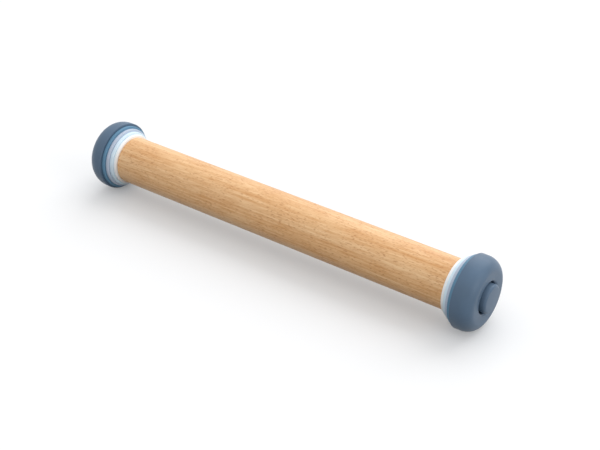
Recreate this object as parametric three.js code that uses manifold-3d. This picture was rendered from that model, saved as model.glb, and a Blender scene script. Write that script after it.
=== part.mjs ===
// Adjustable rolling pin. A beech barrel carries the same stack of parts on each end:
// four thin spacer rings, a thick domed end disc, and a knob whose hollow clamp screw
// passes through all of them into a moulded insert in the barrel.
// The barrel's radius plus a ring's rise sets how thick the dough is left.
// Millimetres. The barrel lies along X, and the end discs stand on Z = 0.

import * as THREE from "three";
import { mergeVertices } from "three/addons/utils/BufferGeometryUtils.js";
import Module from "manifold-3d";

// Driving sizes: barrel and stack
const barrelLength = 350;
const barrelRadius = 22;
const barrelEdgeRound = 1;
const ringThickness = 2.8;
const ringRises = [2, 4, 6, 8];
const discRise = 10;
const edgeChamfer = 0.35;
const faceGap = 0.2;

// Driving sizes: screw and what it passes through
const screwRadius = 9;
const screwPitch = 4;
const screwTurns = 5;
const screwLeadIn = 5;
const screwTipChamfer = 1.5;
const screwCoreRadius = 5;
const boreClearance = 0.4;

// Driving sizes: domed end disc
const discBand = 5;
const domeDepth = 12.3;
const domeDrop = 9.8;
const discWall = 2.4;
const webThickness = 3.3;
const wellGap = 1.2;
const wellMouthRound = 2.2;
const discRibCount = 12;
const discRibThickness = 1.6;
const discRibSetBack = 0.4;

// Driving sizes: knob, washer and drive hexagon
const knobWall = 1.8;
const knobProud = 4;
const knobEdgeRound = 2.2;
const knobFaceWall = 3.4;
const hexShoulder = 1.4;
const hexClearance = 0.3;
const washerThickness = 1;
const washerInset = 0.5;

// Driving sizes: insert in the barrel and its anchor screw
const insertWall = 2.4;
const insertFlangeLip = 3.8;
const insertFlangeThickness = 2;
const insertFloor = 3;
const insertRibCount = 8;
const insertRibHeight = 0.9;
const insertRibWidth = 1.4;
const insertRibShortfall = 6;
const insertClearance = 0.3;
const anchorHeadRadius = 4.4;
const anchorHeadHeight = 2.6;
const anchorShankRadius = 2.1;
const anchorLength = 30;
const anchorTipLength = 5;
const anchorClearance = 0.3;
const anchorFreeDepth = 1;

// Facets of the round pieces, and how far a cutter runs past what it cuts
const discSides = 44;
const knobSides = 36;
const boreSides = 24;
const anchorSides = 12;
const domeSteps = 7;
const innerDomeSteps = 4;
const roundSteps = 3;
const overrun = 1;

// Sizes worked out from the driving ones
const barrelEnd = barrelLength / 2;
const discRadius = barrelRadius + discRise;
const discThickness = discBand + domeDepth;
const boreRadius = screwRadius + boreClearance;
const leadInRadius = boreRadius + boreClearance;
const hexRadius = screwRadius + hexShoulder;
const knobRadius = hexRadius + hexClearance + knobWall;
const wellRadius = knobRadius + wellGap;
const washerRadius = knobRadius - washerInset;
const insertRadius = leadInRadius + insertWall;
const insertFlangeRadius = insertRadius + insertFlangeLip;
const ringPitch = ringThickness + faceGap;
const discInnerFace = barrelEnd + faceGap + ringRises.length * ringPitch;
const washerInnerFace = discInnerFace + webThickness + faceGap;
const screwSeat = washerInnerFace + washerThickness + faceGap;
const knobFace = discInnerFace + discThickness + knobProud;
const knobHeight = knobFace - screwSeat;
const stackHeight = screwSeat - barrelEnd;
const screwReach = screwLeadIn + screwTurns * screwPitch;
const insertBoreDepth = screwReach + stackHeight + anchorHeadHeight + anchorFreeDepth;
const insertLength = insertBoreDepth + insertFloor;
const socketRadius = insertRadius + insertRibHeight + insertClearance;
const standingRadius = discRadius * Math.cos(Math.PI / discSides);

// Finishes
const finishes = {
  beech: { color: 0xdcb181, roughness: 0.55, metalness: 0 },
  white: { color: 0xf6f6f8, roughness: 0.42, metalness: 0 },
  paleBlue: { color: 0xd2e4f7, roughness: 0.42, metalness: 0 },
  lavenderGrey: { color: 0xbfcbda, roughness: 0.42, metalness: 0 },
  midBlue: { color: 0x6c90af, roughness: 0.42, metalness: 0 },
  slate: { color: 0x54677b, roughness: 0.45, metalness: 0 },
  naturalNylon: { color: 0xd9d6cc, roughness: 0.5, metalness: 0 },
  rubber: { color: 0x2b2f33, roughness: 0.8, metalness: 0 },
  zincSteel: { color: 0xb5b6b2, roughness: 0.35, metalness: 1 },
};
const ringFinishes = ["white", "paleBlue", "lavenderGrey", "midBlue"];

const wasm = await Module();
wasm.setup();

// Solids from meshes and back
function toSolid(geometry) {
  const bare = geometry.clone();
  bare.deleteAttribute("normal");
  bare.deleteAttribute("uv");
  const merged = mergeVertices(bare);
  const corners = merged.index.array;
  const kept = [];
  for (let i = 0; i < corners.length; i += 3) {
    const [a, b, c] = [corners[i], corners[i + 1], corners[i + 2]];
    if (a !== b && b !== c && c !== a) {
      kept.push(a, b, c);
    }
  }
  const mesh = new wasm.Mesh({
    numProp: 3,
    vertProperties: new Float32Array(merged.attributes.position.array),
    triVerts: new Uint32Array(kept),
  });
  mesh.merge();
  return new wasm.Manifold(mesh);
}

function toGeometry(solid) {
  const mesh = solid.getMesh();
  const geometry = new THREE.BufferGeometry();
  geometry.setAttribute("position", new THREE.BufferAttribute(mesh.vertProperties, 3));
  geometry.setIndex(new THREE.BufferAttribute(mesh.triVerts, 1));
  return geometry;
}

// A turned shape round X from [x, radius] points, with a flat side facing down
function turned(outline, sides) {
  const points = outline.map(([x, radius]) => new THREE.Vector2(radius, x));
  const lathe = new THREE.LatheGeometry(points, sides, Math.PI / sides);
  return toSolid(lathe.rotateZ(-Math.PI / 2));
}

// Points of a quarter ellipse from its widest radius to its farthest x
function quarterRound(x, radius, alongX, alongRadius, steps) {
  const points = [];
  for (let i = 0; i <= steps; i += 1) {
    const angle = (i / steps) * (Math.PI / 2);
    points.push([x + alongX * Math.sin(angle), radius + alongRadius * Math.cos(angle)]);
  }
  return points;
}

// Radial bars of one width between two radii, from x0 to x1
function radialBars(count, width, innerRadius, outerRadius, x0, x1) {
  const bars = [];
  for (let i = 0; i < count; i += 1) {
    const bar = new THREE.BoxGeometry(x1 - x0, width, outerRadius - innerRadius);
    bar.translate((x0 + x1) / 2, 0, (innerRadius + outerRadius) / 2);
    bar.rotateX((i + 1 / 2) * (2 * Math.PI / count));
    bars.push(toSolid(bar));
  }
  return wasm.Manifold.union(bars);
}

// Beech barrel with a stepped blind socket in each end
function barrelSolid() {
  const straight = barrelEnd - barrelEdgeRound;
  const crown = barrelRadius - barrelEdgeRound;
  const rightEdge = quarterRound(straight, crown, barrelEdgeRound, barrelEdgeRound, roundSteps);
  const leftEdge = rightEdge.map(([x, radius]) => [-x, radius]).reverse();
  const body = turned([[-barrelEnd, 0], ...leftEdge, ...rightEdge, [barrelEnd, 0]], discSides);
  const flangeFloor = barrelEnd - insertFlangeThickness - faceGap;
  const socketFloor = barrelEnd - insertLength - insertClearance;
  const pilotFloor = barrelEnd - insertBoreDepth - anchorLength - anchorClearance;
  const flangeSocket = insertFlangeRadius + insertClearance;
  const pilotRadius = anchorShankRadius + anchorClearance;
  const socket = turned([
    [pilotFloor, 0],
    [pilotFloor, pilotRadius],
    [socketFloor, pilotRadius],
    [socketFloor, socketRadius],
    [flangeFloor, socketRadius],
    [flangeFloor, flangeSocket],
    [barrelEnd + overrun, flangeSocket],
    [barrelEnd + overrun, 0],
  ], boreSides);
  return body.subtract(socket).subtract(socket.rotate([0, 0, 180]));
}

// Flat spacer ring with chamfered rim, its inner face at x = 0
function ringSolid(rise) {
  const radius = barrelRadius + rise;
  return turned([
    [0, boreRadius],
    [0, radius - edgeChamfer],
    [edgeChamfer, radius],
    [ringThickness - edgeChamfer, radius],
    [ringThickness, radius - edgeChamfer],
    [ringThickness, boreRadius],
    [0, boreRadius],
  ], discSides);
}

// Domed end disc: a shell of even wall round a central well, with ribs on its hidden side
function endDiscSolid() {
  const domeCentre = discRadius - domeDrop;
  const mouthX = discThickness - wellMouthRound;
  const mouthRadius = wellRadius + wellMouthRound;
  const mouth = quarterRound(mouthX, mouthRadius, wellMouthRound, -wellMouthRound, roundSteps);
  const outside = turned([
    [0, boreRadius],
    [0, discRadius - edgeChamfer],
    [edgeChamfer, discRadius],
    ...quarterRound(discBand, domeCentre, domeDepth, domeDrop, domeSteps),
    ...mouth.reverse(),
    [webThickness, wellRadius],
    [webThickness, boreRadius],
    [0, boreRadius],
  ], discSides);
  const hubRadius = wellRadius + discWall;
  const innerDome = quarterRound(
    discBand, domeCentre, domeDepth - discWall, domeDrop - discWall, innerDomeSteps,
  );
  const core = turned([
    [-overrun, hubRadius],
    [-overrun, discRadius - discWall],
    ...innerDome,
    [discThickness - discWall, hubRadius],
    [-overrun, hubRadius],
  ], discSides);
  const ribs = radialBars(
    discRibCount, discRibThickness, hubRadius - overrun, discRadius, discRibSetBack, discThickness,
  );
  return outside.subtract(core.subtract(ribs));
}

// Friction washer, its inner face at x = 0
function washerSolid() {
  return turned([
    [0, boreRadius],
    [0, washerRadius],
    [washerThickness, washerRadius],
    [washerThickness, boreRadius],
    [0, boreRadius],
  ], knobSides);
}

function hexagonSolid(radius, x0, x1) {
  const prism = new THREE.CylinderGeometry(radius, radius, x1 - x0, 6);
  prism.rotateZ(-Math.PI / 2);
  prism.translate((x0 + x1) / 2, 0, 0);
  return toSolid(prism);
}

// Knob with a soft front edge and a hexagonal socket behind, its seat at x = 0
function knobSolid() {
  const frontEdge = quarterRound(
    knobHeight - knobEdgeRound, knobRadius - knobEdgeRound, knobEdgeRound, knobEdgeRound, roundSteps,
  );
  const body = turned([
    [0, 0],
    [0, knobRadius - edgeChamfer],
    [edgeChamfer, knobRadius],
    ...frontEdge,
    [knobHeight, 0],
  ], knobSides);
  const socketEnd = knobHeight - knobFaceWall;
  return body.subtract(hexagonSolid(hexRadius + hexClearance, -overrun, socketEnd));
}

// Hollow clamp screw: hexagonal head outward of x = 0 and shank inward of it
function clampScrewSolid() {
  const shankLength = stackHeight + screwReach;
  const headEnd = knobHeight - knobFaceWall - hexClearance;
  const shank = turned([
    [-shankLength, 0],
    [-shankLength, screwRadius - screwTipChamfer],
    [screwTipChamfer - shankLength, screwRadius],
    [overrun, screwRadius],
    [overrun, 0],
  ], boreSides);
  const core = turned([
    [screwLeadIn - shankLength, 0],
    [screwLeadIn - shankLength, screwCoreRadius],
    [headEnd + overrun, screwCoreRadius],
    [headEnd + overrun, 0],
  ], boreSides);
  return shank.add(hexagonSolid(hexRadius, 0, headEnd)).subtract(core);
}

// Moulded insert, flange face at x = 0 and its ribbed body inward of it
function insertSolid() {
  const floorX = -insertBoreDepth;
  const body = turned([
    [-insertLength, anchorShankRadius + anchorClearance],
    [-insertLength, insertRadius - edgeChamfer],
    [edgeChamfer - insertLength, insertRadius],
    [-insertFlangeThickness, insertRadius],
    [-insertFlangeThickness, insertFlangeRadius],
    [0, insertFlangeRadius],
    [0, leadInRadius],
    [-screwLeadIn, leadInRadius],
    [-screwLeadIn, boreRadius],
    [floorX, boreRadius],
    [floorX, anchorShankRadius + anchorClearance],
    [-insertLength, anchorShankRadius + anchorClearance],
  ], boreSides);
  const ribRoot = (boreRadius + insertRadius) / 2;
  const ribs = radialBars(
    insertRibCount, insertRibWidth, ribRoot, insertRadius + insertRibHeight,
    insertRibShortfall - insertLength, -insertFlangeThickness / 2,
  );
  return body.add(ribs);
}

// Pan-head wood screw: the head stands outward of x = 0 and the pointed shank runs inward
function anchorScrewSolid() {
  return turned([
    [-anchorLength, 0],
    [anchorTipLength - anchorLength, anchorShankRadius],
    [0, anchorShankRadius],
    [0, anchorHeadRadius],
    [anchorHeadHeight / 2, anchorHeadRadius],
    [anchorHeadHeight, anchorHeadRadius / 2],
    [anchorHeadHeight, 0],
  ], anchorSides);
}

function piece(name, solid, finish, x) {
  const mesh = new THREE.Mesh(toGeometry(solid), new THREE.MeshStandardMaterial(finishes[finish]));
  mesh.name = name;
  mesh.position.x = x;
  return mesh;
}

// Everything on one end of the pin, from the barrel outward
function endStack(side) {
  const end = new THREE.Group();
  ringRises.forEach((rise, index) => {
    const x = barrelEnd + faceGap + index * ringPitch;
    end.add(piece(`ring_${rise}mm_${side}`, ringSolid(rise), ringFinishes[index], x));
  });
  end.add(piece(`end_disc_${side}`, endDiscSolid(), "slate", discInnerFace));
  end.add(piece(`friction_washer_${side}`, washerSolid(), "rubber", washerInnerFace));
  end.add(piece(`clamp_screw_${side}`, clampScrewSolid(), "naturalNylon", screwSeat));
  end.add(piece(`knob_${side}`, knobSolid(), "slate", screwSeat));
  end.add(piece(`threaded_insert_${side}`, insertSolid(), "naturalNylon", barrelEnd));
  const anchorX = barrelEnd - insertBoreDepth + faceGap;
  end.add(piece(`anchor_screw_${side}`, anchorScrewSolid(), "zincSteel", anchorX));
  return end;
}

const group = new THREE.Group();
group.position.z = standingRadius;
group.add(piece("barrel", barrelSolid(), "beech", 0));
const rightEnd = endStack("right");
const leftEnd = endStack("left");
leftEnd.rotation.z = Math.PI;
group.add(rightEnd, leftEnd);

export default group;
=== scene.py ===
"""Adjustable rolling pin: beech barrel, stepped moulded rings, domed end discs and screw-in knobs.

Every size is in metres. The pin's axis lies along X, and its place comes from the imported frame.
"""

import math

import bpy
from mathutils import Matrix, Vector


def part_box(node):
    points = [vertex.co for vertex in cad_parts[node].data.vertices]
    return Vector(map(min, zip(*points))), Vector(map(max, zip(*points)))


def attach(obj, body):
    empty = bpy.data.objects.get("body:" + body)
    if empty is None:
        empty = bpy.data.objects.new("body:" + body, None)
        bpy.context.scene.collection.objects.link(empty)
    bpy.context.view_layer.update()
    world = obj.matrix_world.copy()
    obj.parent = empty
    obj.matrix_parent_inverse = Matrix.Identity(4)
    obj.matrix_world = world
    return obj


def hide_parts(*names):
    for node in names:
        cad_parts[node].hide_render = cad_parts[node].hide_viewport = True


bl_info = {
    "name": "Adjustable rolling pin",
    "version": (1, 0, 0),
    "blender": (4, 5, 0),
    "location": "View3D > Sidebar > Rolling pin",
    "description": "Models and finishes a beech rolling pin with removable thickness rings",
    "category": "Add Mesh",
}

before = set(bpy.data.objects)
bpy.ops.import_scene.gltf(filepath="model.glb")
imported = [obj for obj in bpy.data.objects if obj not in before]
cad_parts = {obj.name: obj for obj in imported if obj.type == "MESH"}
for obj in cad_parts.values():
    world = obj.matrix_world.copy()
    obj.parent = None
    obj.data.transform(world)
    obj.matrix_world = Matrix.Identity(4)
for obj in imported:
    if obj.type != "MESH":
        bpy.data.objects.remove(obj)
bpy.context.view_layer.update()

RING_RISES = (2, 4, 6, 8)
RING_SLOTS = ("white", "pale_blue", "lavender_grey", "mid_blue")
QUARTER_TURN = math.pi / 2
HALF_TURN = math.pi
FULL_TURN = 2 * math.pi
SMOOTH_ANGLE = math.radians(32)

# Facets round a turned piece, a small one and a thread, then in a rounded corner, a dome and a bevel
SPIN_STEPS = 160
SMALL_SPIN_STEPS = 64
THREAD_STEPS = 64
ARC_STEPS = 6
DOME_STEPS = 20
BEVEL_STEPS = 3

# Points nearer than this are one point, and a plane cuts more finely still
MERGE_DISTANCE = 2e-6
CUT_TOLERANCE = MERGE_DISTANCE / 10

# So that no faces coincide, tools run past what they cut, joined pieces reach into each other, and the
# anchor screw's plain shank is slimmer than its thread
OVERRUN = 0.001
OVERLAP = 0.00073
SHANK_RELIEF = 0.0002

# Where a ridge leaves its root, reaches its crest, leaves it and is back, in shares of the pitch
SCREW_RIDGE = (0.30, 0.40, 0.62, 0.72)
TAP_RIDGE = (0.22, 0.32, 0.70, 0.80)
WOOD_RIDGE = (0.30, 0.46, 0.54, 0.70)

# Lie of the beech's grain, skin of the discs and knobs, and how far a moulded skin varies either way
GRAIN_SLOPE = (0, math.radians(-0.8), math.radians(1.2))
SLATE_SKIN = {"roughness": 0.38, "relief": 0.00001, "shine": 0.25}
SHADE_SPREAD = 0.05
GLOSS_SPREAD = 0.05

# Sockets of a Mix node that mixes colours
MIX_INPUTS = (6, 7)
MIX_OUTPUT = 2

WHITE = (1, 1, 1, 1)
SENSOR_WIDTH = 36
CAMERA_RANGE = 100


def axis_height():
    """Height of the pin's axis over the surface that it rests on."""
    low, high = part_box("barrel")
    return (low.z + high.z) / 2


def node_radius(node):
    """Outer radius of a round CAD node."""
    low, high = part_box(node)
    return (high.z - low.z) / 2


class PinSizes(bpy.types.PropertyGroup):
    """Lengths and roundings that the frame doesn't hold."""

    barrel_edge: bpy.props.FloatProperty(
        name="Barrel edge",
        description="Radius that breaks the barrel's end edges",
        default=0.001,
        unit="LENGTH",
    )
    ring_edge: bpy.props.FloatProperty(
        name="Ring edge",
        description="Radius on the rims of the rings",
        default=0.0005,
        unit="LENGTH",
    )
    small_edge: bpy.props.FloatProperty(
        name="Small edge",
        description="Radius on hidden and inner edges",
        default=0.0003,
        unit="LENGTH",
    )
    gap: bpy.props.FloatProperty(
        name="Gap",
        description="Room between pieces that are pushed into each other",
        default=0.0003,
        unit="LENGTH",
    )
    bore_radius: bpy.props.FloatProperty(
        name="Bore",
        description="Radius of the hole through the rings, the washers and the discs",
        default=0.0094,
        unit="LENGTH",
    )
    disc_band: bpy.props.FloatProperty(
        name="Disc band",
        description="Width of the end disc's straight rolling band",
        default=0.005,
        unit="LENGTH",
    )
    dome_drop: bpy.props.FloatProperty(
        name="Dome drop",
        description="How far the dome falls from the rim to the flat face, measured along the radius",
        default=0.0098,
        unit="LENGTH",
    )
    disc_wall: bpy.props.FloatProperty(
        name="Disc wall",
        description="Wall of the shelled end disc",
        default=0.0024,
        unit="LENGTH",
    )
    disc_web: bpy.props.FloatProperty(
        name="Disc web",
        description="Thickness of the floor of the end disc's well",
        default=0.0033,
        unit="LENGTH",
    )
    disc_ribs: bpy.props.IntProperty(
        name="Disc ribs",
        description="Number of ribs on the end disc's hidden side",
        default=12,
    )
    disc_rib_width: bpy.props.FloatProperty(
        name="Disc rib width",
        description="Thickness of a rib on the end disc's hidden side",
        default=0.0016,
        unit="LENGTH",
    )
    disc_rib_set_back: bpy.props.FloatProperty(
        name="Disc rib set-back",
        description="How far the ribs stay behind the end disc's inner face",
        default=0.0004,
        unit="LENGTH",
    )
    well_radius: bpy.props.FloatProperty(
        name="Well",
        description="Radius of the well that the knob sits in",
        default=0.0137,
        unit="LENGTH",
    )
    well_mouth: bpy.props.FloatProperty(
        name="Well mouth",
        description="Radius that rolls the disc's face into its well",
        default=0.0022,
        unit="LENGTH",
    )
    knob_edge: bpy.props.FloatProperty(
        name="Knob edge",
        description="Soft radius round the knob's face",
        default=0.0022,
        unit="LENGTH",
    )
    knob_face_wall: bpy.props.FloatProperty(
        name="Knob face wall",
        description="Thickness of the knob in front of its hexagonal socket",
        default=0.0034,
        unit="LENGTH",
    )
    screw_radius: bpy.props.FloatProperty(
        name="Screw",
        description="Radius of the clamp screw's plain shank",
        default=0.0089,
        unit="LENGTH",
    )
    screw_core: bpy.props.FloatProperty(
        name="Screw core",
        description="Radius of the hollow in the clamp screw",
        default=0.005,
        unit="LENGTH",
    )
    screw_tip: bpy.props.FloatProperty(
        name="Screw tip",
        description="Length of solid screw in front of its hollow",
        default=0.005,
        unit="LENGTH",
    )
    screw_tip_bevel: bpy.props.FloatProperty(
        name="Screw tip bevel",
        description="Bevel that leads the screw into its thread",
        default=0.0015,
        unit="LENGTH",
    )
    screw_pitch: bpy.props.FloatProperty(
        name="Screw pitch",
        description="How far the knob travels in one turn",
        default=0.004,
        unit="LENGTH",
    )
    thread_crest: bpy.props.FloatProperty(
        name="Thread crest",
        description="Outer radius of the clamp screw's thread",
        default=0.00885,
        unit="LENGTH",
    )
    thread_root: bpy.props.FloatProperty(
        name="Thread root",
        description="Inner radius of the clamp screw's thread",
        default=0.0078,
        unit="LENGTH",
    )
    thread_play: bpy.props.FloatProperty(
        name="Thread play",
        description="Radial room between the screw's thread and the insert's",
        default=0.00045,
        unit="LENGTH",
    )
    insert_radius: bpy.props.FloatProperty(
        name="Insert",
        description="Outer radius of the insert's bush",
        default=0.0121,
        unit="LENGTH",
    )
    insert_socket: bpy.props.FloatProperty(
        name="Insert socket",
        description="Radius of the hole in the barrel that takes the insert and its ribs",
        default=0.0134,
        unit="LENGTH",
    )
    insert_flange: bpy.props.FloatProperty(
        name="Insert flange",
        description="Thickness of the insert's flange",
        default=0.002,
        unit="LENGTH",
    )
    insert_floor: bpy.props.FloatProperty(
        name="Insert floor",
        description="Thickness of the insert's floor",
        default=0.003,
        unit="LENGTH",
    )
    insert_lead_in: bpy.props.FloatProperty(
        name="Insert lead-in",
        description="Depth of the plain mouth before the insert's thread",
        default=0.005,
        unit="LENGTH",
    )
    insert_mouth: bpy.props.FloatProperty(
        name="Insert mouth",
        description="Radius of the plain mouth before the insert's thread",
        default=0.0097,
        unit="LENGTH",
    )
    insert_ribs: bpy.props.IntProperty(
        name="Insert ribs",
        description="Number of ribs that keep the insert from turning in the wood",
        default=8,
    )
    insert_rib_width: bpy.props.FloatProperty(
        name="Insert rib width",
        description="Thickness of a rib on the insert",
        default=0.0014,
        unit="LENGTH",
    )
    insert_rib_height: bpy.props.FloatProperty(
        name="Insert rib height",
        description="How far the ribs stand out of the insert's bush",
        default=0.0009,
        unit="LENGTH",
    )
    insert_rib_end: bpy.props.FloatProperty(
        name="Insert rib end",
        description="How far the ribs stop short of the insert's floor",
        default=0.006,
        unit="LENGTH",
    )
    anchor_hole: bpy.props.FloatProperty(
        name="Anchor hole",
        description="Radius of the hole that takes the anchor screw",
        default=0.0024,
        unit="LENGTH",
    )
    anchor_radius: bpy.props.FloatProperty(
        name="Anchor screw",
        description="Radius of the anchor screw's shank and thread",
        default=0.00202,
        unit="LENGTH",
    )
    anchor_core: bpy.props.FloatProperty(
        name="Anchor screw core",
        description="Inner radius of the anchor screw's thread",
        default=0.0013,
        unit="LENGTH",
    )
    anchor_pitch: bpy.props.FloatProperty(
        name="Anchor screw pitch",
        description="Pitch of the anchor screw's wood thread",
        default=0.0018,
        unit="LENGTH",
    )
    anchor_plain_turns: bpy.props.IntProperty(
        name="Anchor plain turns",
        description="Length of the plain shank under the anchor screw's head, in pitches of its thread",
        default=4,
    )
    anchor_head: bpy.props.FloatProperty(
        name="Anchor head",
        description="Height of the anchor screw's pan head",
        default=0.0026,
        unit="LENGTH",
    )
    anchor_tip: bpy.props.FloatProperty(
        name="Anchor tip",
        description="Length of the anchor screw's point",
        default=0.005,
        unit="LENGTH",
    )


class PinFinishes(bpy.types.PropertyGroup):
    """Colours of the wood, the moulded parts and the hardware, as linear values."""

    beech_light: bpy.props.FloatVectorProperty(
        name="Beech, light",
        description="Early wood of the barrel",
        subtype="COLOR",
        default=(0.915, 0.6, 0.315),
        min=0,
        max=1,
    )
    beech_dark: bpy.props.FloatVectorProperty(
        name="Beech, dark",
        description="Late wood of the barrel",
        subtype="COLOR",
        default=(0.66, 0.316, 0.1),
        min=0,
        max=1,
    )
    beech_fleck: bpy.props.FloatVectorProperty(
        name="Beech, fleck",
        description="Short ray flecks in the barrel",
        subtype="COLOR",
        default=(0.53, 0.21, 0.056),
        min=0,
        max=1,
    )
    white: bpy.props.FloatVectorProperty(
        name="White",
        description="Rings of 2 mm rise",
        subtype="COLOR",
        default=(0.97, 0.99, 1.0),
        min=0,
        max=1,
    )
    pale_blue: bpy.props.FloatVectorProperty(
        name="Pale blue",
        description="Rings of 4 mm rise",
        subtype="COLOR",
        default=(0.72, 0.87, 1.0),
        min=0,
        max=1,
    )
    lavender_grey: bpy.props.FloatVectorProperty(
        name="Lavender grey",
        description="Rings of 6 mm rise",
        subtype="COLOR",
        default=(0.52, 0.59, 0.71),
        min=0,
        max=1,
    )
    mid_blue: bpy.props.FloatVectorProperty(
        name="Mid blue",
        description="Rings of 8 mm rise",
        subtype="COLOR",
        default=(0.13, 0.275, 0.415),
        min=0,
        max=1,
    )
    slate: bpy.props.FloatVectorProperty(
        name="Slate",
        description="End discs and knobs",
        subtype="COLOR",
        default=(0.103, 0.162, 0.242),
        min=0,
        max=1,
    )
    natural_nylon: bpy.props.FloatVectorProperty(
        name="Natural nylon",
        description="Clamp screws and inserts",
        subtype="COLOR",
        default=(0.69, 0.67, 0.60),
        min=0,
        max=1,
    )
    rubber: bpy.props.FloatVectorProperty(
        name="Rubber",
        description="Friction washers",
        subtype="COLOR",
        default=(0.025, 0.028, 0.033),
        min=0,
        max=1,
    )
    zinc_steel: bpy.props.FloatVectorProperty(
        name="Zinc-plated steel",
        description="Anchor screws",
        subtype="COLOR",
        default=(0.46, 0.47, 0.45),
        min=0,
        max=1,
    )


class PinStage(bpy.types.PropertyGroup):
    """Camera, light and floor."""

    focal_length: bpy.props.FloatProperty(
        name="Focal length",
        description="Camera lens in millimetres, on a sensor 36 mm wide",
        default=70.65,
        unit="CAMERA",
    )
    camera_turn: bpy.props.FloatProperty(
        name="Camera turn",
        description="Angle of the view round the pin, from its long side",
        default=math.radians(36.19),
        subtype="ANGLE",
    )
    camera_tilt: bpy.props.FloatProperty(
        name="Camera tilt",
        description="Angle of the view down onto the floor",
        default=math.radians(32.27),
        subtype="ANGLE",
    )
    camera_reach: bpy.props.FloatVectorProperty(
        name="Camera reach",
        description="Pin's middle seen from the camera: right, down and forward",
        subtype="TRANSLATION",
        default=(-0.01687, -0.00688, 1.02949),
    )
    sky: bpy.props.FloatProperty(
        name="Sky",
        description="Strength of the even white light from all round",
        default=0.84,
    )
    overhead_power: bpy.props.FloatProperty(
        name="Overhead power",
        description="Power of the large soft lamp above and behind the pin",
        default=250,
        unit="POWER",
    )
    overhead_size: bpy.props.FloatProperty(
        name="Overhead size",
        description="Side of the large square lamp",
        default=7,
        unit="LENGTH",
    )
    overhead_place: bpy.props.FloatVectorProperty(
        name="Overhead place",
        description="Where the overhead lamp hangs, above and behind the pin",
        subtype="TRANSLATION",
        default=(0, 4.8, 4.5),
    )
    fill_power: bpy.props.FloatProperty(
        name="Fill power",
        description="Power of the soft lamp off the pin's right end",
        default=52,
        unit="POWER",
    )
    fill_size: bpy.props.FloatProperty(
        name="Fill size",
        description="Side of the square lamp off the pin's right end",
        default=3,
        unit="LENGTH",
    )
    fill_place: bpy.props.FloatVectorProperty(
        name="Fill place",
        description="Where the lamp off the pin's right end stands",
        subtype="TRANSLATION",
        default=(4.7, 0, 1.7),
    )
    front_power: bpy.props.FloatProperty(
        name="Front power",
        description="Power of the weak lamp that draws the ridge of light on the domes",
        default=3,
        unit="POWER",
    )
    front_size: bpy.props.FloatProperty(
        name="Front size",
        description="Side of the square lamp in front of the pin",
        default=1,
        unit="LENGTH",
    )
    front_place: bpy.props.FloatVectorProperty(
        name="Front place",
        description="Where the front lamp stands, behind the camera",
        subtype="TRANSLATION",
        default=(1.1, -3.1, 2.3),
    )
    floor_size: bpy.props.FloatProperty(
        name="Floor size",
        description="Side of the square floor",
        default=30,
        unit="LENGTH",
    )
    floor_shade: bpy.props.FloatVectorProperty(
        name="Floor shade",
        description="Share of the floor's white that shadows can take away",
        subtype="COLOR",
        default=(0.73, 0.737, 0.747),
        min=0,
        max=1,
    )
    floor_glow: bpy.props.FloatProperty(
        name="Floor glow",
        description="Share of the floor's white that shadows leave",
        default=0.17,
        min=0,
        max=1,
    )
    floor_bounce: bpy.props.FloatProperty(
        name="Floor bounce",
        description="Share of the light that the floor sends back onto the pin",
        default=0.1,
        min=0,
        max=1,
    )


def corner_arc(before, corner, after, radius):
    """Points of the arc that rounds one corner of an outline."""
    back = (before - corner).normalized()
    ahead = (after - corner).normalized()
    half = back.angle(ahead) / 2
    centre = corner + (back + ahead).normalized() * (radius / math.sin(half))
    start = corner + back * (radius / math.tan(half)) - centre
    end = corner + ahead * (radius / math.tan(half)) - centre
    sweep = start.angle(end)
    points = []
    for i in range(ARC_STEPS + 1):
        share = i / ARC_STEPS
        first = math.sin((1 - share) * sweep) / math.sin(sweep)
        last = math.sin(share * sweep) / math.sin(sweep)
        points.append(centre + start * first + end * last)
    return points


def rounded(corners, closed=False):
    """Outline points from corners (x, radius, rounding), each rounded but the ends of an open outline."""
    outline = []
    count = len(corners)
    for i, (x, radius, rounding) in enumerate(corners):
        corner = Vector((x, radius))
        inner = closed or 0 < i < count - 1
        if rounding and inner:
            before = Vector(corners[i - 1][:2])
            after = Vector(corners[(i + 1) % count][:2])
            outline.extend(corner_arc(before, corner, after, rounding))
        else:
            outline.append(corner)
    if closed:
        outline.append(outline[0].copy())
    return outline


def quarter_ellipse(x, radius, along_x, along_radius):
    """Corners of a quarter ellipse from its widest radius to its farthest x."""
    corners = []
    for i in range(DOME_STEPS + 1):
        angle = i / DOME_STEPS * QUARTER_TURN
        corners.append((x + along_x * math.sin(angle), radius + along_radius * math.cos(angle), 0))
    return corners


def make_active(piece):
    """Select one object alone and make it the active one."""
    bpy.ops.object.select_all(action="DESELECT")
    piece.select_set(True)
    bpy.context.view_layer.objects.active = piece


def name_piece(piece, name):
    """Name an object and its mesh."""
    piece.name = name
    piece.data.name = name


def draw_outline(name, outline):
    """Draw an outline beside the pin's axis by extruding one point from place to place."""
    bpy.ops.object.select_all(action="DESELECT")
    bpy.ops.mesh.primitive_plane_add(size=OVERRUN, location=(0, 0, axis_height()))
    piece = bpy.context.active_object
    name_piece(piece, name)
    bpy.ops.object.mode_set(mode="EDIT")
    bpy.ops.mesh.select_all(action="SELECT")
    bpy.ops.mesh.merge(type="CENTER")
    bpy.ops.transform.translate(value=(outline[0].x, 0, outline[0].y))
    for here, there in zip(outline, outline[1:]):
        step = there - here
        bpy.ops.mesh.extrude_region_move(TRANSFORM_OT_translate={"value": (step.x, 0, step.y)})
    return piece


def merge_points():
    """In edit mode, merge the points that lie on one another, and leave all selected."""
    bpy.ops.mesh.select_all(action="SELECT")
    bpy.ops.mesh.remove_doubles(threshold=MERGE_DISTANCE)


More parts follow.
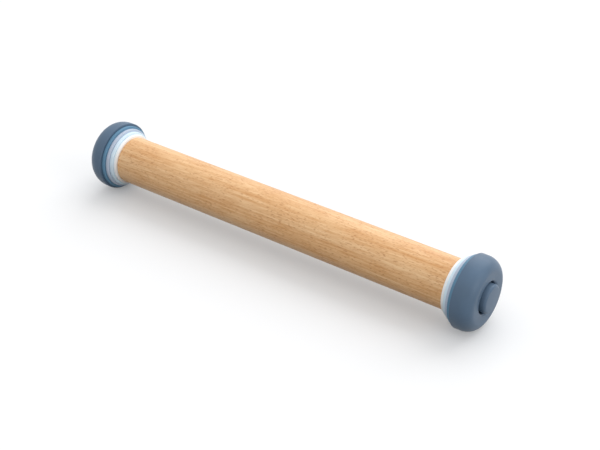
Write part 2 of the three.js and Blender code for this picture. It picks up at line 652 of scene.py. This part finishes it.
def finish_mesh():
    """Leave edit mode with the points merged and the faces pointing out."""
    merge_points()
    bpy.ops.mesh.normals_make_consistent(inside=False)
    bpy.ops.object.mode_set(mode="OBJECT")
    bpy.ops.object.transform_apply(location=True, rotation=True, scale=True)


def turn(name, outline, steps=SPIN_STEPS):
    """Spin an outline of (x, radius) points round the pin's axis."""
    piece = draw_outline(name, outline)
    bpy.ops.mesh.select_all(action="SELECT")
    bpy.ops.mesh.spin(steps=steps, angle=FULL_TURN, center=(0, 0, axis_height()), axis=(1, 0, 0))
    finish_mesh()
    return piece


def threaded_rod(name, low, high, root, crest, pitch, ridge):
    """A rod with a right-handed thread, cut square at both ends.

    The helix is laid out from x = 0, so rods of one pitch fit each other wherever they start.
    """
    first = (math.floor(low / pitch) - 1) * pitch
    leave, reach, quit_crest, back = ridge
    corners = ((0, root), (leave, root), (reach, crest), (quit_crest, crest), (back, root), (1, root))
    outline = [Vector((first + share * pitch, radius)) for share, radius in corners]
    piece = draw_outline(name, outline)
    bpy.ops.object.mode_set(mode="OBJECT")
    bpy.ops.object.modifier_add(type="SCREW")
    helix = piece.modifiers[-1]
    helix.axis = "X"
    helix.angle = FULL_TURN
    helix.screw_offset = pitch
    helix.iterations = math.ceil((high - first) / pitch) + 1
    helix.steps = THREAD_STEPS
    helix.render_steps = THREAD_STEPS
    bpy.ops.object.modifier_apply(modifier=helix.name)
    bpy.ops.object.mode_set(mode="EDIT")
    merge_points()
    for x, outward in ((low, -1), (high, 1)):
        bpy.ops.mesh.select_all(action="SELECT")
        bpy.ops.mesh.bisect(
            plane_co=(x, 0, axis_height()),
            plane_no=(outward, 0, 0),
            use_fill=True,
            clear_outer=True,
            threshold=CUT_TOLERANCE,
        )
    finish_mesh()
    return piece


def hexagon(name, low, high, radius, edge):
    """A hexagonal prism along the pin's axis, with its corners up and down and its edges bevelled."""
    bpy.ops.object.select_all(action="DESELECT")
    bpy.ops.mesh.primitive_cylinder_add(
        vertices=6,
        radius=radius,
        depth=high - low,
        location=((low + high) / 2, 0, axis_height()),
        rotation=(QUARTER_TURN, 0, QUARTER_TURN),
    )
    piece = bpy.context.active_object
    name_piece(piece, name)
    bpy.ops.object.mode_set(mode="EDIT")
    bpy.ops.mesh.select_all(action="SELECT")
    bpy.ops.mesh.bevel(offset=edge, segments=BEVEL_STEPS, affect="EDGES")
    finish_mesh()
    return piece


def radial_bars(name, count, width, inner, outer, low, high):
    """Equal bars round the pin's axis, from an inner to an outer radius."""
    centre = (0, 0, axis_height())
    bpy.ops.object.select_all(action="DESELECT")
    bpy.ops.mesh.primitive_cube_add(
        size=1,
        location=((low + high) / 2, 0, axis_height() + (inner + outer) / 2),
        scale=(high - low, width, outer - inner),
    )
    piece = bpy.context.active_object
    name_piece(piece, name)
    bpy.ops.object.transform_apply(location=True, rotation=True, scale=True)
    bpy.ops.object.mode_set(mode="EDIT")
    bpy.ops.mesh.select_all(action="SELECT")
    step = FULL_TURN / count
    bpy.ops.transform.rotate(value=step / 2, orient_axis="X", center_override=centre)
    for _ in range(count - 1):
        bpy.ops.mesh.duplicate()
        bpy.ops.transform.rotate(value=step, orient_axis="X", center_override=centre)
    finish_mesh()
    return piece


def combine(piece, tool, operation):
    """Join, cut or trim a piece with a tool, remove the tool and dissolve the slivers that are left."""
    make_active(piece)
    bpy.ops.object.modifier_add(type="BOOLEAN")
    modifier = piece.modifiers[-1]
    modifier.operation = operation
    modifier.solver = "EXACT"
    modifier.object = tool
    bpy.ops.object.modifier_apply(modifier=modifier.name)
    bpy.data.objects.remove(tool, do_unlink=True)
    bpy.ops.object.mode_set(mode="EDIT")
    merge_points()
    bpy.ops.mesh.dissolve_degenerate(threshold=MERGE_DISTANCE)
    bpy.ops.object.mode_set(mode="OBJECT")
    if not piece.data.polygons:
        raise RuntimeError(f"{piece.name} was lost while it was shaped")


def other_end(piece, name):
    """Copy a right-hand piece and turn the copy half round to the left end."""
    make_active(piece)
    bpy.ops.object.duplicate()
    copy = bpy.context.active_object
    name_piece(copy, name)
    bpy.ops.transform.rotate(value=HALF_TURN, orient_axis="Z", center_override=(0, 0, 0))
    bpy.ops.object.transform_apply(location=True, rotation=True, scale=True)
    return copy


def dress(piece, node, body, material):
    """Give a piece its finish and put it in its CAD node's place."""
    make_active(piece)
    bpy.ops.object.shade_smooth_by_angle(angle=SMOOTH_ANGLE)
    piece.data.materials.clear()
    piece.data.materials.append(material)
    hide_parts(node)
    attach(piece, body)


def dress_pair(piece, kind, body, material):
    """Finish a right-hand piece and its copy at the left end."""
    pieces = {"right": piece, "left": other_end(piece, f"{kind}_left_piece")}
    for side, each in pieces.items():
        dress(each, f"{kind}_{side}", body.format(side=side), material)


def new_material(name):
    """A node material with its shader."""
    material = bpy.data.materials.new(name)
    material.use_nodes = True
    nodes = material.node_tree.nodes
    return material, nodes, material.node_tree.links, nodes["Principled BSDF"]


def object_coordinates(nodes, links, scale=(1, 1, 1), turn=(0, 0, 0)):
    """Object coordinates through a Mapping node, turned and then drawn out."""
    coordinates = nodes.new("ShaderNodeTexCoord")
    mapping = nodes.new("ShaderNodeMapping")
    mapping.vector_type = "TEXTURE"
    mapping.inputs["Rotation"].default_value = turn
    mapping.inputs["Scale"].default_value = [1 / each for each in scale]
    links.new(coordinates.outputs["Object"], mapping.inputs["Vector"])
    return mapping.outputs["Vector"]


def noise(nodes, links, vector, scale, detail, roughness):
    """A noise texture's value."""
    texture = nodes.new("ShaderNodeTexNoise")
    texture.inputs["Scale"].default_value = scale
    texture.inputs["Detail"].default_value = detail
    texture.inputs["Roughness"].default_value = roughness
    links.new(vector, texture.inputs["Vector"])
    return texture.outputs["Fac"]


def remap(nodes, links, value, source, target):
    """Carry a value from one range to another, and clamp it there."""
    node = nodes.new("ShaderNodeMapRange")
    node.inputs["From Min"].default_value = source[0]
    node.inputs["From Max"].default_value = source[1]
    node.inputs["To Min"].default_value = target[0]
    node.inputs["To Max"].default_value = target[1]
    links.new(value, node.inputs["Value"])
    return node.outputs["Result"]


def mix_colours(nodes, links, factor, first, second):
    """Mix two colours, each a value or a socket, by a factor."""
    node = nodes.new("ShaderNodeMix")
    node.data_type = "RGBA"
    links.new(factor, node.inputs["Factor"])
    for i, colour in zip(MIX_INPUTS, (first, second)):
        if isinstance(colour, bpy.types.NodeSocket):
            links.new(colour, node.inputs[i])
        else:
            node.inputs[i].default_value = (*colour, 1)
    return node.outputs[MIX_OUTPUT]


def maths(nodes, links, operation, first, second):
    """A Math node on sockets or numbers."""
    node = nodes.new("ShaderNodeMath")
    node.operation = operation
    for socket, value in zip(node.inputs, (first, second)):
        if isinstance(value, bpy.types.NodeSocket):
            links.new(value, socket)
        else:
            socket.default_value = value
    return node.outputs["Value"]


def bump(nodes, links, shader, height, distance):
    """Surface relief from a height, at a real depth."""
    node = nodes.new("ShaderNodeBump")
    node.inputs["Strength"].default_value = 1
    node.inputs["Distance"].default_value = distance
    links.new(height, node.inputs["Height"])
    links.new(node.outputs["Normal"], shader.inputs["Normal"])


def shaded(colour, share):
    """A colour made darker or lighter."""
    return tuple(min(channel * share, 1) for channel in colour)


def moulded(name, colour, roughness=0.46, relief=0.00003, shine=0.3):
    """Satin moulded plastic: a fine spark-eroded skin with faint clouding."""
    material, nodes, links, shader = new_material(name)
    vector = object_coordinates(nodes, links)
    clouds = noise(nodes, links, vector, scale=55, detail=3, roughness=0.55)
    skin = noise(nodes, links, vector, scale=2600, detail=2, roughness=0.6)
    dark = shaded(colour, 1 - SHADE_SPREAD)
    light = shaded(colour, 1 + SHADE_SPREAD)
    tone = remap(nodes, links, clouds, (0.3, 0.7), (0, 1))
    links.new(mix_colours(nodes, links, tone, dark, light), shader.inputs["Base Color"])
    spread = (roughness - GLOSS_SPREAD, roughness + GLOSS_SPREAD)
    links.new(remap(nodes, links, clouds, (0.25, 0.75), spread), shader.inputs["Roughness"])
    shader.inputs["Specular IOR Level"].default_value = shine
    bump(nodes, links, shader, skin, relief)
    return material


def plated(name, colour):
    """Zinc-plated steel: bright and slightly spangled."""
    material, nodes, links, shader = new_material(name)
    vector = object_coordinates(nodes, links)
    spangle = noise(nodes, links, vector, scale=900, detail=3, roughness=0.6)
    dark = shaded(colour, 0.8)
    tone = remap(nodes, links, spangle, (0.35, 0.65), (0, 1))
    links.new(mix_colours(nodes, links, tone, dark, colour), shader.inputs["Base Color"])
    links.new(remap(nodes, links, spangle, (0.3, 0.7), (0.28, 0.42)), shader.inputs["Roughness"])
    shader.inputs["Metallic"].default_value = 1
    bump(nodes, links, shader, spangle, distance=0.00001)
    return material


def grain(nodes, links, along, across, detail, roughness):
    """Noise drawn out along the barrel: how often it changes in a metre, along and across the grain."""
    vector = object_coordinates(nodes, links, (along, across, across), turn=GRAIN_SLOPE)
    return noise(nodes, links, vector, scale=1, detail=detail, roughness=roughness)


def weighted_sum(nodes, links, parts):
    """Sum of sockets, each times its weight."""
    total = 0.0
    for socket, weight in parts:
        total = maths(nodes, links, "ADD", total, maths(nodes, links, "MULTIPLY", socket, weight))
    return total


def beech(name, light, dark, fleck):
    """Oiled beech turned from straight stock: level growth layers, fine grain and short ray flecks."""
    material, nodes, links, shader = new_material(name)
    layers = nodes.new("ShaderNodeTexWave")
    layers.wave_type = "BANDS"
    layers.bands_direction = "Z"
    layers.inputs["Scale"].default_value = 95
    layers.inputs["Distortion"].default_value = 3.5
    layers.inputs["Detail"].default_value = 2
    layers.inputs["Detail Scale"].default_value = 1.3
    layers.inputs["Detail Roughness"].default_value = 0.6
    links.new(object_coordinates(nodes, links, (0.03, 0.35, 1)), layers.inputs["Vector"])
    bands = grain(nodes, links, along=4, across=110, detail=2, roughness=0.5)
    streaks = grain(nodes, links, along=16, across=480, detail=3, roughness=0.65)
    fibres = grain(nodes, links, along=80, across=1700, detail=3, roughness=0.65)
    clouds = grain(nodes, links, along=30, across=70, detail=2, roughness=0.5)
    dashes = grain(nodes, links, along=320, across=1500, detail=0, roughness=0.5)
    tone = weighted_sum(nodes, links, (
        (layers.outputs["Fac"], 0.15), (bands, 0.65), (streaks, 1.0), (fibres, 1.0), (clouds, 0.3),
    ))
    ground = mix_colours(nodes, links, remap(nodes, links, tone, (1.22, 1.92), (0, 1)), light, dark)
    crowd = weighted_sum(nodes, links, ((dashes, 1.0), (clouds, 0.22), (streaks, 0.12)))
    mark = remap(nodes, links, crowd, (0.8, 0.92), (0, 0.7))
    links.new(mix_colours(nodes, links, mark, ground, fleck), shader.inputs["Base Color"])
    links.new(remap(nodes, links, fibres, (0.3, 0.7), (0.5, 0.64)), shader.inputs["Roughness"])
    shader.inputs["Specular IOR Level"].default_value = 0.6
    shader.inputs["Coat Weight"].default_value = 0.35
    shader.inputs["Coat Roughness"].default_value = 0.45
    relief = weighted_sum(nodes, links, ((fibres, 1.0), (mark, -0.6)))
    bump(nodes, links, shader, relief, distance=0.00001)
    return material


class PIN_OT_barrel(bpy.types.Operator):
    """Turn the beech barrel with its rounded ends and stepped sockets"""

    bl_idname = "rolling_pin.barrel"
    bl_label = "Barrel"

    def execute(self, context):
        sizes = context.scene.pin_sizes
        finishes = context.scene.pin_finishes
        radius = node_radius("barrel")
        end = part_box("barrel")[1].x
        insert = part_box("threaded_insert_right")[0].x - sizes.gap
        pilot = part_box("anchor_screw_right")[0].x - sizes.gap
        flange = node_radius("threaded_insert_right") + sizes.gap
        flange_floor = end - sizes.insert_flange - sizes.gap
        right = [
            (pilot, 0, 0),
            (pilot, sizes.anchor_hole, 0),
            (insert, sizes.anchor_hole, 0),
            (insert, sizes.insert_socket, sizes.small_edge),
            (flange_floor, sizes.insert_socket, 0),
            (flange_floor, flange, 0),
            (end, flange, sizes.small_edge),
            (end, radius, sizes.barrel_edge),
        ]
        left = [(-x, r, rounding) for x, r, rounding in reversed(right)]
        piece = turn("barrel_piece", rounded(right + left))
        material = beech("beech", finishes.beech_light, finishes.beech_dark, finishes.beech_fleck)
        dress(piece, "barrel", "barrel_body", material)
        return {"FINISHED"}


class PIN_OT_rings(bpy.types.Operator):
    """Turn the four spacer rings of each end"""

    bl_idname = "rolling_pin.rings"
    bl_label = "Thickness rings"

    def execute(self, context):
        sizes = context.scene.pin_sizes
        finishes = context.scene.pin_finishes
        for rise, slot in zip(RING_RISES, RING_SLOTS):
            kind = f"ring_{rise}mm"
            low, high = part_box(f"{kind}_right")
            radius = node_radius(f"{kind}_right")
            outline = rounded([
                (low.x, sizes.bore_radius, sizes.small_edge),
                (low.x, radius, sizes.ring_edge),
                (high.x, radius, sizes.ring_edge),
                (high.x, sizes.bore_radius, sizes.small_edge),
            ], closed=True)
            piece = turn(f"{kind}_right_piece", outline)
            dress_pair(piece, kind, kind + "_{side}_body", moulded(slot, getattr(finishes, slot)))
        return {"FINISHED"}


class PIN_OT_end_discs(bpy.types.Operator):
    """Turn the domed end discs with their wells, and shell and rib their hidden backs"""

    bl_idname = "rolling_pin.end_discs"
    bl_label = "End discs"

    def execute(self, context):
        sizes = context.scene.pin_sizes
        low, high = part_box("end_disc_right")
        radius = node_radius("end_disc_right")
        band = low.x + sizes.disc_band
        crown = radius - sizes.dome_drop
        wall = sizes.disc_wall
        hub = sizes.well_radius + wall
        outline = rounded([
            (low.x, sizes.bore_radius, sizes.small_edge),
            (low.x, radius, sizes.ring_edge),
            *quarter_ellipse(band, crown, high.x - band, sizes.dome_drop),
            (high.x, sizes.well_radius, sizes.well_mouth),
            (low.x + sizes.disc_web, sizes.well_radius, sizes.small_edge),
            (low.x + sizes.disc_web, sizes.bore_radius, sizes.small_edge),
        ], closed=True)
        piece = turn("end_disc_right_piece", outline)
        hollow = turn("disc_hollow", rounded([
            (low.x - OVERRUN, hub, 0),
            (low.x - OVERRUN, radius - wall, 0),
            *quarter_ellipse(band, crown, high.x - band - wall, sizes.dome_drop - wall),
            (high.x - wall, hub, sizes.small_edge),
        ], closed=True))
        ribs = radial_bars(
            "disc_ribs", sizes.disc_ribs, sizes.disc_rib_width, hub - OVERRUN, radius,
            low.x + sizes.disc_rib_set_back, high.x,
        )
        combine(hollow, ribs, "DIFFERENCE")
        combine(piece, hollow, "DIFFERENCE")
        material = moulded("slate", context.scene.pin_finishes.slate, **SLATE_SKIN)
        dress_pair(piece, "end_disc", "end_disc_{side}_body", material)
        return {"FINISHED"}


class PIN_OT_knobs(bpy.types.Operator):
    """Turn the end knobs with their soft front edge and hexagonal socket"""

    bl_idname = "rolling_pin.knobs"
    bl_label = "Knobs"

    def execute(self, context):
        sizes = context.scene.pin_sizes
        low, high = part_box("knob_right")
        radius = node_radius("knob_right")
        piece = turn("knob_right_piece", rounded([
            (low.x, 0, 0),
            (low.x, radius, sizes.small_edge),
            (high.x, radius, sizes.knob_edge),
            (high.x, 0, 0),
        ]))
        corner = node_radius("clamp_screw_right") + sizes.gap
        socket = hexagon(
            "knob_socket", low.x - OVERRUN, high.x - sizes.knob_face_wall, corner, sizes.small_edge
        )
        combine(piece, socket, "DIFFERENCE")
        material = moulded("slate_knob", context.scene.pin_finishes.slate, **SLATE_SKIN)
        dress_pair(piece, "knob", "knob_{side}_body", material)
        return {"FINISHED"}


class PIN_OT_clamp_screws(bpy.types.Operator):
    """Cut the hollow clamp screws with their coarse thread and hexagonal head"""

    bl_idname = "rolling_pin.clamp_screws"
    bl_label = "Clamp screws"

    def execute(self, context):
        sizes = context.scene.pin_sizes
        low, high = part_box("clamp_screw_right")
        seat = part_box("knob_right")[0].x
        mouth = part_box("barrel")[1].x
        shank = sizes.screw_radius
        piece = threaded_rod(
            "clamp_screw_right_piece", low.x - OVERRUN, mouth, sizes.thread_root, sizes.thread_crest,
            sizes.screw_pitch, SCREW_RIDGE,
        )
        # The lead's cone runs on past the thread, which it trims only near the tip
        lead = turn("screw_lead", [
            Vector((low.x, 0)),
            Vector((low.x, shank - sizes.screw_tip_bevel)),
            Vector((low.x + sizes.screw_tip_bevel + OVERRUN, shank + OVERRUN)),
            Vector((seat, shank + OVERRUN)),
            Vector((seat, 0)),
        ])
        combine(piece, lead, "INTERSECT")
        plain = turn("screw_shank", [
            Vector((mouth - OVERLAP, 0)),
            Vector((mouth - OVERLAP, sizes.thread_root - OVERLAP)),
            Vector((mouth + OVERLAP, shank)),
            Vector((seat + OVERRUN, shank)),
            Vector((seat + OVERRUN, 0)),
        ])
        head = hexagon("screw_head", seat, high.x, node_radius("clamp_screw_right"), sizes.small_edge)
        combine(plain, head, "UNION")
        combine(piece, plain, "UNION")
        core = turn("screw_core", rounded([
            (low.x + sizes.screw_tip, 0, 0),
            (low.x + sizes.screw_tip, sizes.screw_core, sizes.small_edge),
            (high.x + OVERRUN, sizes.screw_core, 0),
            (high.x + OVERRUN, 0, 0),
        ]), SMALL_SPIN_STEPS)
        combine(piece, core, "DIFFERENCE")
        material = moulded("natural_nylon", context.scene.pin_finishes.natural_nylon)
        dress_pair(piece, "clamp_screw", "knob_{side}_body", material)
        return {"FINISHED"}


class PIN_OT_washers(bpy.types.Operator):
    """Cut the friction washers"""

    bl_idname = "rolling_pin.washers"
    bl_label = "Friction washers"

    def execute(self, context):
        sizes = context.scene.pin_sizes
        low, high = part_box("friction_washer_right")
        radius = node_radius("friction_washer_right")
        edge = sizes.small_edge / 2
        outline = rounded([
            (low.x, sizes.bore_radius, edge),
            (low.x, radius, edge),
            (high.x, radius, edge),
            (high.x, sizes.bore_radius, edge),
        ], closed=True)
        piece = turn("friction_washer_right_piece", outline, SMALL_SPIN_STEPS)
        rubber = context.scene.pin_finishes.rubber
        material = moulded("rubber", rubber, roughness=0.7, relief=0.00006)
        dress_pair(piece, "friction_washer", "washer_{side}_body", material)
        return {"FINISHED"}


class PIN_OT_inserts(bpy.types.Operator):
    """Mould the flanged inserts with their ribs and inner thread"""

    bl_idname = "rolling_pin.inserts"
    bl_label = "Threaded inserts"

    def execute(self, context):
        sizes = context.scene.pin_sizes
        low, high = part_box("threaded_insert_right")
        flange = node_radius("threaded_insert_right")
        behind = high.x - sizes.insert_flange
        edge = sizes.small_edge
        piece = turn("threaded_insert_right_piece", rounded([
            (low.x, sizes.anchor_hole, edge),
            (low.x, sizes.insert_radius, edge),
            (behind, sizes.insert_radius, edge),
            (behind, flange, edge),
            (high.x, flange, edge),
            (high.x, sizes.anchor_hole, 0),
        ], closed=True))
        ribs = radial_bars(
            "insert_ribs", sizes.insert_ribs, sizes.insert_rib_width, sizes.insert_radius - OVERRUN,
            sizes.insert_radius + sizes.insert_rib_height, low.x + sizes.insert_rib_end,
            behind + OVERRUN,
        )
        combine(piece, ribs, "UNION")
        tap = threaded_rod(
            "insert_tap", low.x + sizes.insert_floor, high.x + OVERRUN,
            sizes.thread_root + sizes.thread_play, sizes.thread_crest + sizes.thread_play,
            sizes.screw_pitch, TAP_RIDGE,
        )
        combine(piece, tap, "DIFFERENCE")
        mouth = turn("insert_mouth", [
            Vector((high.x - sizes.insert_lead_in, 0)),
            Vector((high.x - sizes.insert_lead_in, sizes.insert_mouth)),
            Vector((high.x + OVERRUN, sizes.insert_mouth)),
            Vector((high.x + OVERRUN, 0)),
        ])
        combine(piece, mouth, "DIFFERENCE")
        material = moulded("natural_nylon_insert", context.scene.pin_finishes.natural_nylon)
        dress_pair(piece, "threaded_insert", "barrel_body", material)
        return {"FINISHED"}


class PIN_OT_anchor_screws(bpy.types.Operator):
    """Cut the pan-head wood screws that hold the inserts"""

    bl_idname = "rolling_pin.anchor_screws"
    bl_label = "Anchor screws"

    def execute(self, context):
        sizes = context.scene.pin_sizes
        low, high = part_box("anchor_screw_right")
        head_radius = node_radius("anchor_screw_right")
        under_head = high.x - sizes.anchor_head
        thread_end = under_head - sizes.anchor_plain_turns * sizes.anchor_pitch
        shank = sizes.anchor_radius
        plain_shank = shank - SHANK_RELIEF
        piece = threaded_rod(
            "anchor_screw_right_piece", low.x - OVERRUN, thread_end,
            sizes.anchor_core, shank, sizes.anchor_pitch, WOOD_RIDGE,
        )
        point = turn("screw_point", [
            Vector((low.x, 0)),
            Vector((low.x + sizes.anchor_tip * (1 + OVERRUN / shank), shank + OVERRUN)),
            Vector((under_head, shank + OVERRUN)),
            Vector((under_head, 0)),
        ], SMALL_SPIN_STEPS)
        combine(piece, point, "INTERSECT")
        head = turn("screw_head", rounded([
            (thread_end - OVERLAP, 0, 0),
            (thread_end - OVERLAP, sizes.anchor_core - SHANK_RELIEF, 0),
            (thread_end + OVERLAP, plain_shank, 0),
            (under_head, plain_shank, 0),
            (under_head, head_radius, sizes.small_edge),
            (high.x - sizes.anchor_head / 2, head_radius, sizes.small_edge),
            (high.x, head_radius / 2, sizes.small_edge),
            (high.x, 0, 0),
        ]), SMALL_SPIN_STEPS)
        combine(piece, head, "UNION")
        recess = (sizes.anchor_head, 2 * shank, shank / 2)
        for across in (0, QUARTER_TURN):
            bpy.ops.object.select_all(action="DESELECT")
            bpy.ops.mesh.primitive_cube_add(
                size=1,
                location=(high.x, 0, axis_height()),
                rotation=(across, 0, 0),
                scale=recess,
            )
            combine(piece, bpy.context.active_object, "DIFFERENCE")
        material = plated("zinc_steel", context.scene.pin_finishes.zinc_steel)
        dress_pair(piece, "anchor_screw", "barrel_body", material)
        return {"FINISHED"}


def floor_material(shade, glow, bounce):
    """White floor that keeps its shadow in view and in gloss, and sends little light up to the pin."""
    material, nodes, links, shader = new_material("floor_white")
    shader.inputs["Base Color"].default_value = (*shade, 1)
    shader.inputs["Roughness"].default_value = 1
    shader.inputs["Specular IOR Level"].default_value = 0
    shader.inputs["Emission Color"].default_value = WHITE
    shader.inputs["Emission Strength"].default_value = glow
    dim = nodes.new("ShaderNodeBsdfDiffuse")
    dim.inputs["Color"].default_value = (bounce, bounce, bounce, 1)
    path = nodes.new("ShaderNodeLightPath")
    seen = maths(nodes, links, "MAXIMUM", path.outputs["Is Camera Ray"], path.outputs["Is Glossy Ray"])
    seen = maths(nodes, links, "MAXIMUM", seen, path.outputs["Is Transmission Ray"])
    both = nodes.new("ShaderNodeMixShader")
    links.new(seen, both.inputs["Fac"])
    links.new(dim.outputs["BSDF"], both.inputs[1])
    links.new(shader.outputs["BSDF"], both.inputs[2])
    links.new(both.outputs["Shader"], nodes["Material Output"].inputs["Surface"])
    return material


def add_lamp(name, place, size, power):
    """A soft square lamp that looks at the middle of the floor."""
    bpy.ops.object.light_add(type="AREA", location=place)
    lamp = bpy.context.active_object
    lamp.name = name
    lamp.data.size = size
    lamp.data.energy = power
    lamp.rotation_euler = Vector(place).to_track_quat("Z", "Y").to_euler()


class PIN_OT_stage(bpy.types.Operator):
    """Set the camera, the floor and the light"""

    bl_idname = "rolling_pin.stage"
    bl_label = "Stage"

    def execute(self, context):
        stage = context.scene.pin_stage
        scene = context.scene
        turned = stage.camera_turn
        tilt = stage.camera_tilt
        right = Vector((math.cos(turned), math.sin(turned), 0))
        forward = Vector((
            -math.sin(turned) * math.cos(tilt),
            math.cos(turned) * math.cos(tilt),
            -math.sin(tilt),
        ))
        down = forward.cross(right)
        reach = stage.camera_reach
        place = Vector((0, 0, axis_height())) - right * reach[0] - down * reach[1] - forward * reach[2]
        bpy.ops.object.camera_add(location=place, rotation=forward.to_track_quat("-Z", "Y").to_euler())
        camera = bpy.context.active_object
        camera.name = "camera"
        camera.data.lens = stage.focal_length
        camera.data.sensor_width = SENSOR_WIDTH
        camera.data.sensor_fit = "HORIZONTAL"
        camera.data.clip_end = CAMERA_RANGE
        scene.camera = camera

        bpy.ops.object.select_all(action="DESELECT")
        bpy.ops.mesh.primitive_plane_add(size=stage.floor_size, location=(0, 0, 0))
        floor = bpy.context.active_object
        floor.name = "floor"
        floor.data.materials.append(
            floor_material(stage.floor_shade, stage.floor_glow, stage.floor_bounce)
        )

        world = bpy.data.worlds.new("studio")
        scene.world = world
        world.use_nodes = True
        nodes = world.node_tree.nodes
        links = world.node_tree.links
        background = nodes["Background"]
        background.inputs["Color"].default_value = WHITE
        # The camera sees full white, and the pin is lit by the weaker sky
        path = nodes.new("ShaderNodeLightPath")
        strength = maths(nodes, links, "MAXIMUM", path.outputs["Is Camera Ray"], stage.sky)
        links.new(strength, background.inputs["Strength"])
        add_lamp("overhead_lamp", stage.overhead_place, stage.overhead_size, stage.overhead_power)
        add_lamp("fill_lamp", stage.fill_place, stage.fill_size, stage.fill_power)
        add_lamp("front_lamp", stage.front_place, stage.front_size, stage.front_power)
        scene.view_settings.view_transform = "Standard"
        return {"FINISHED"}


class PIN_PT_panel(bpy.types.Panel):
    """Buttons for the pin's parts"""

    bl_label = "Rolling pin"
    bl_idname = "PIN_PT_panel"
    bl_space_type = "VIEW_3D"
    bl_region_type = "UI"
    bl_category = "Rolling pin"

    def draw(self, context):
        for operator in OPERATORS:
            self.layout.operator(operator.bl_idname)


OPERATORS = (
    PIN_OT_stage,
    PIN_OT_barrel,
    PIN_OT_rings,
    PIN_OT_end_discs,
    PIN_OT_knobs,
    PIN_OT_clamp_screws,
    PIN_OT_washers,
    PIN_OT_inserts,
    PIN_OT_anchor_screws,
)
CLASSES = (PinSizes, PinFinishes, PinStage, *OPERATORS, PIN_PT_panel)


def register():
    """Register the classes and give the scene its settings."""
    for each in CLASSES:
        bpy.utils.register_class(each)
    bpy.types.Scene.pin_sizes = bpy.props.PointerProperty(type=PinSizes)
    bpy.types.Scene.pin_finishes = bpy.props.PointerProperty(type=PinFinishes)
    bpy.types.Scene.pin_stage = bpy.props.PointerProperty(type=PinStage)


def unregister():
    """Take the settings and the classes away again."""
    del bpy.types.Scene.pin_stage
    del bpy.types.Scene.pin_finishes
    del bpy.types.Scene.pin_sizes
    for each in reversed(CLASSES):
        bpy.utils.unregister_class(each)


def main():
    """Build the whole pin."""
    register()
    bpy.ops.rolling_pin.stage()
    bpy.ops.rolling_pin.barrel()
    bpy.ops.rolling_pin.rings()
    bpy.ops.rolling_pin.end_discs()
    bpy.ops.rolling_pin.knobs()
    bpy.ops.rolling_pin.clamp_screws()
    bpy.ops.rolling_pin.washers()
    bpy.ops.rolling_pin.inserts()
    bpy.ops.rolling_pin.anchor_screws()


if __name__ == "__main__":
    main()
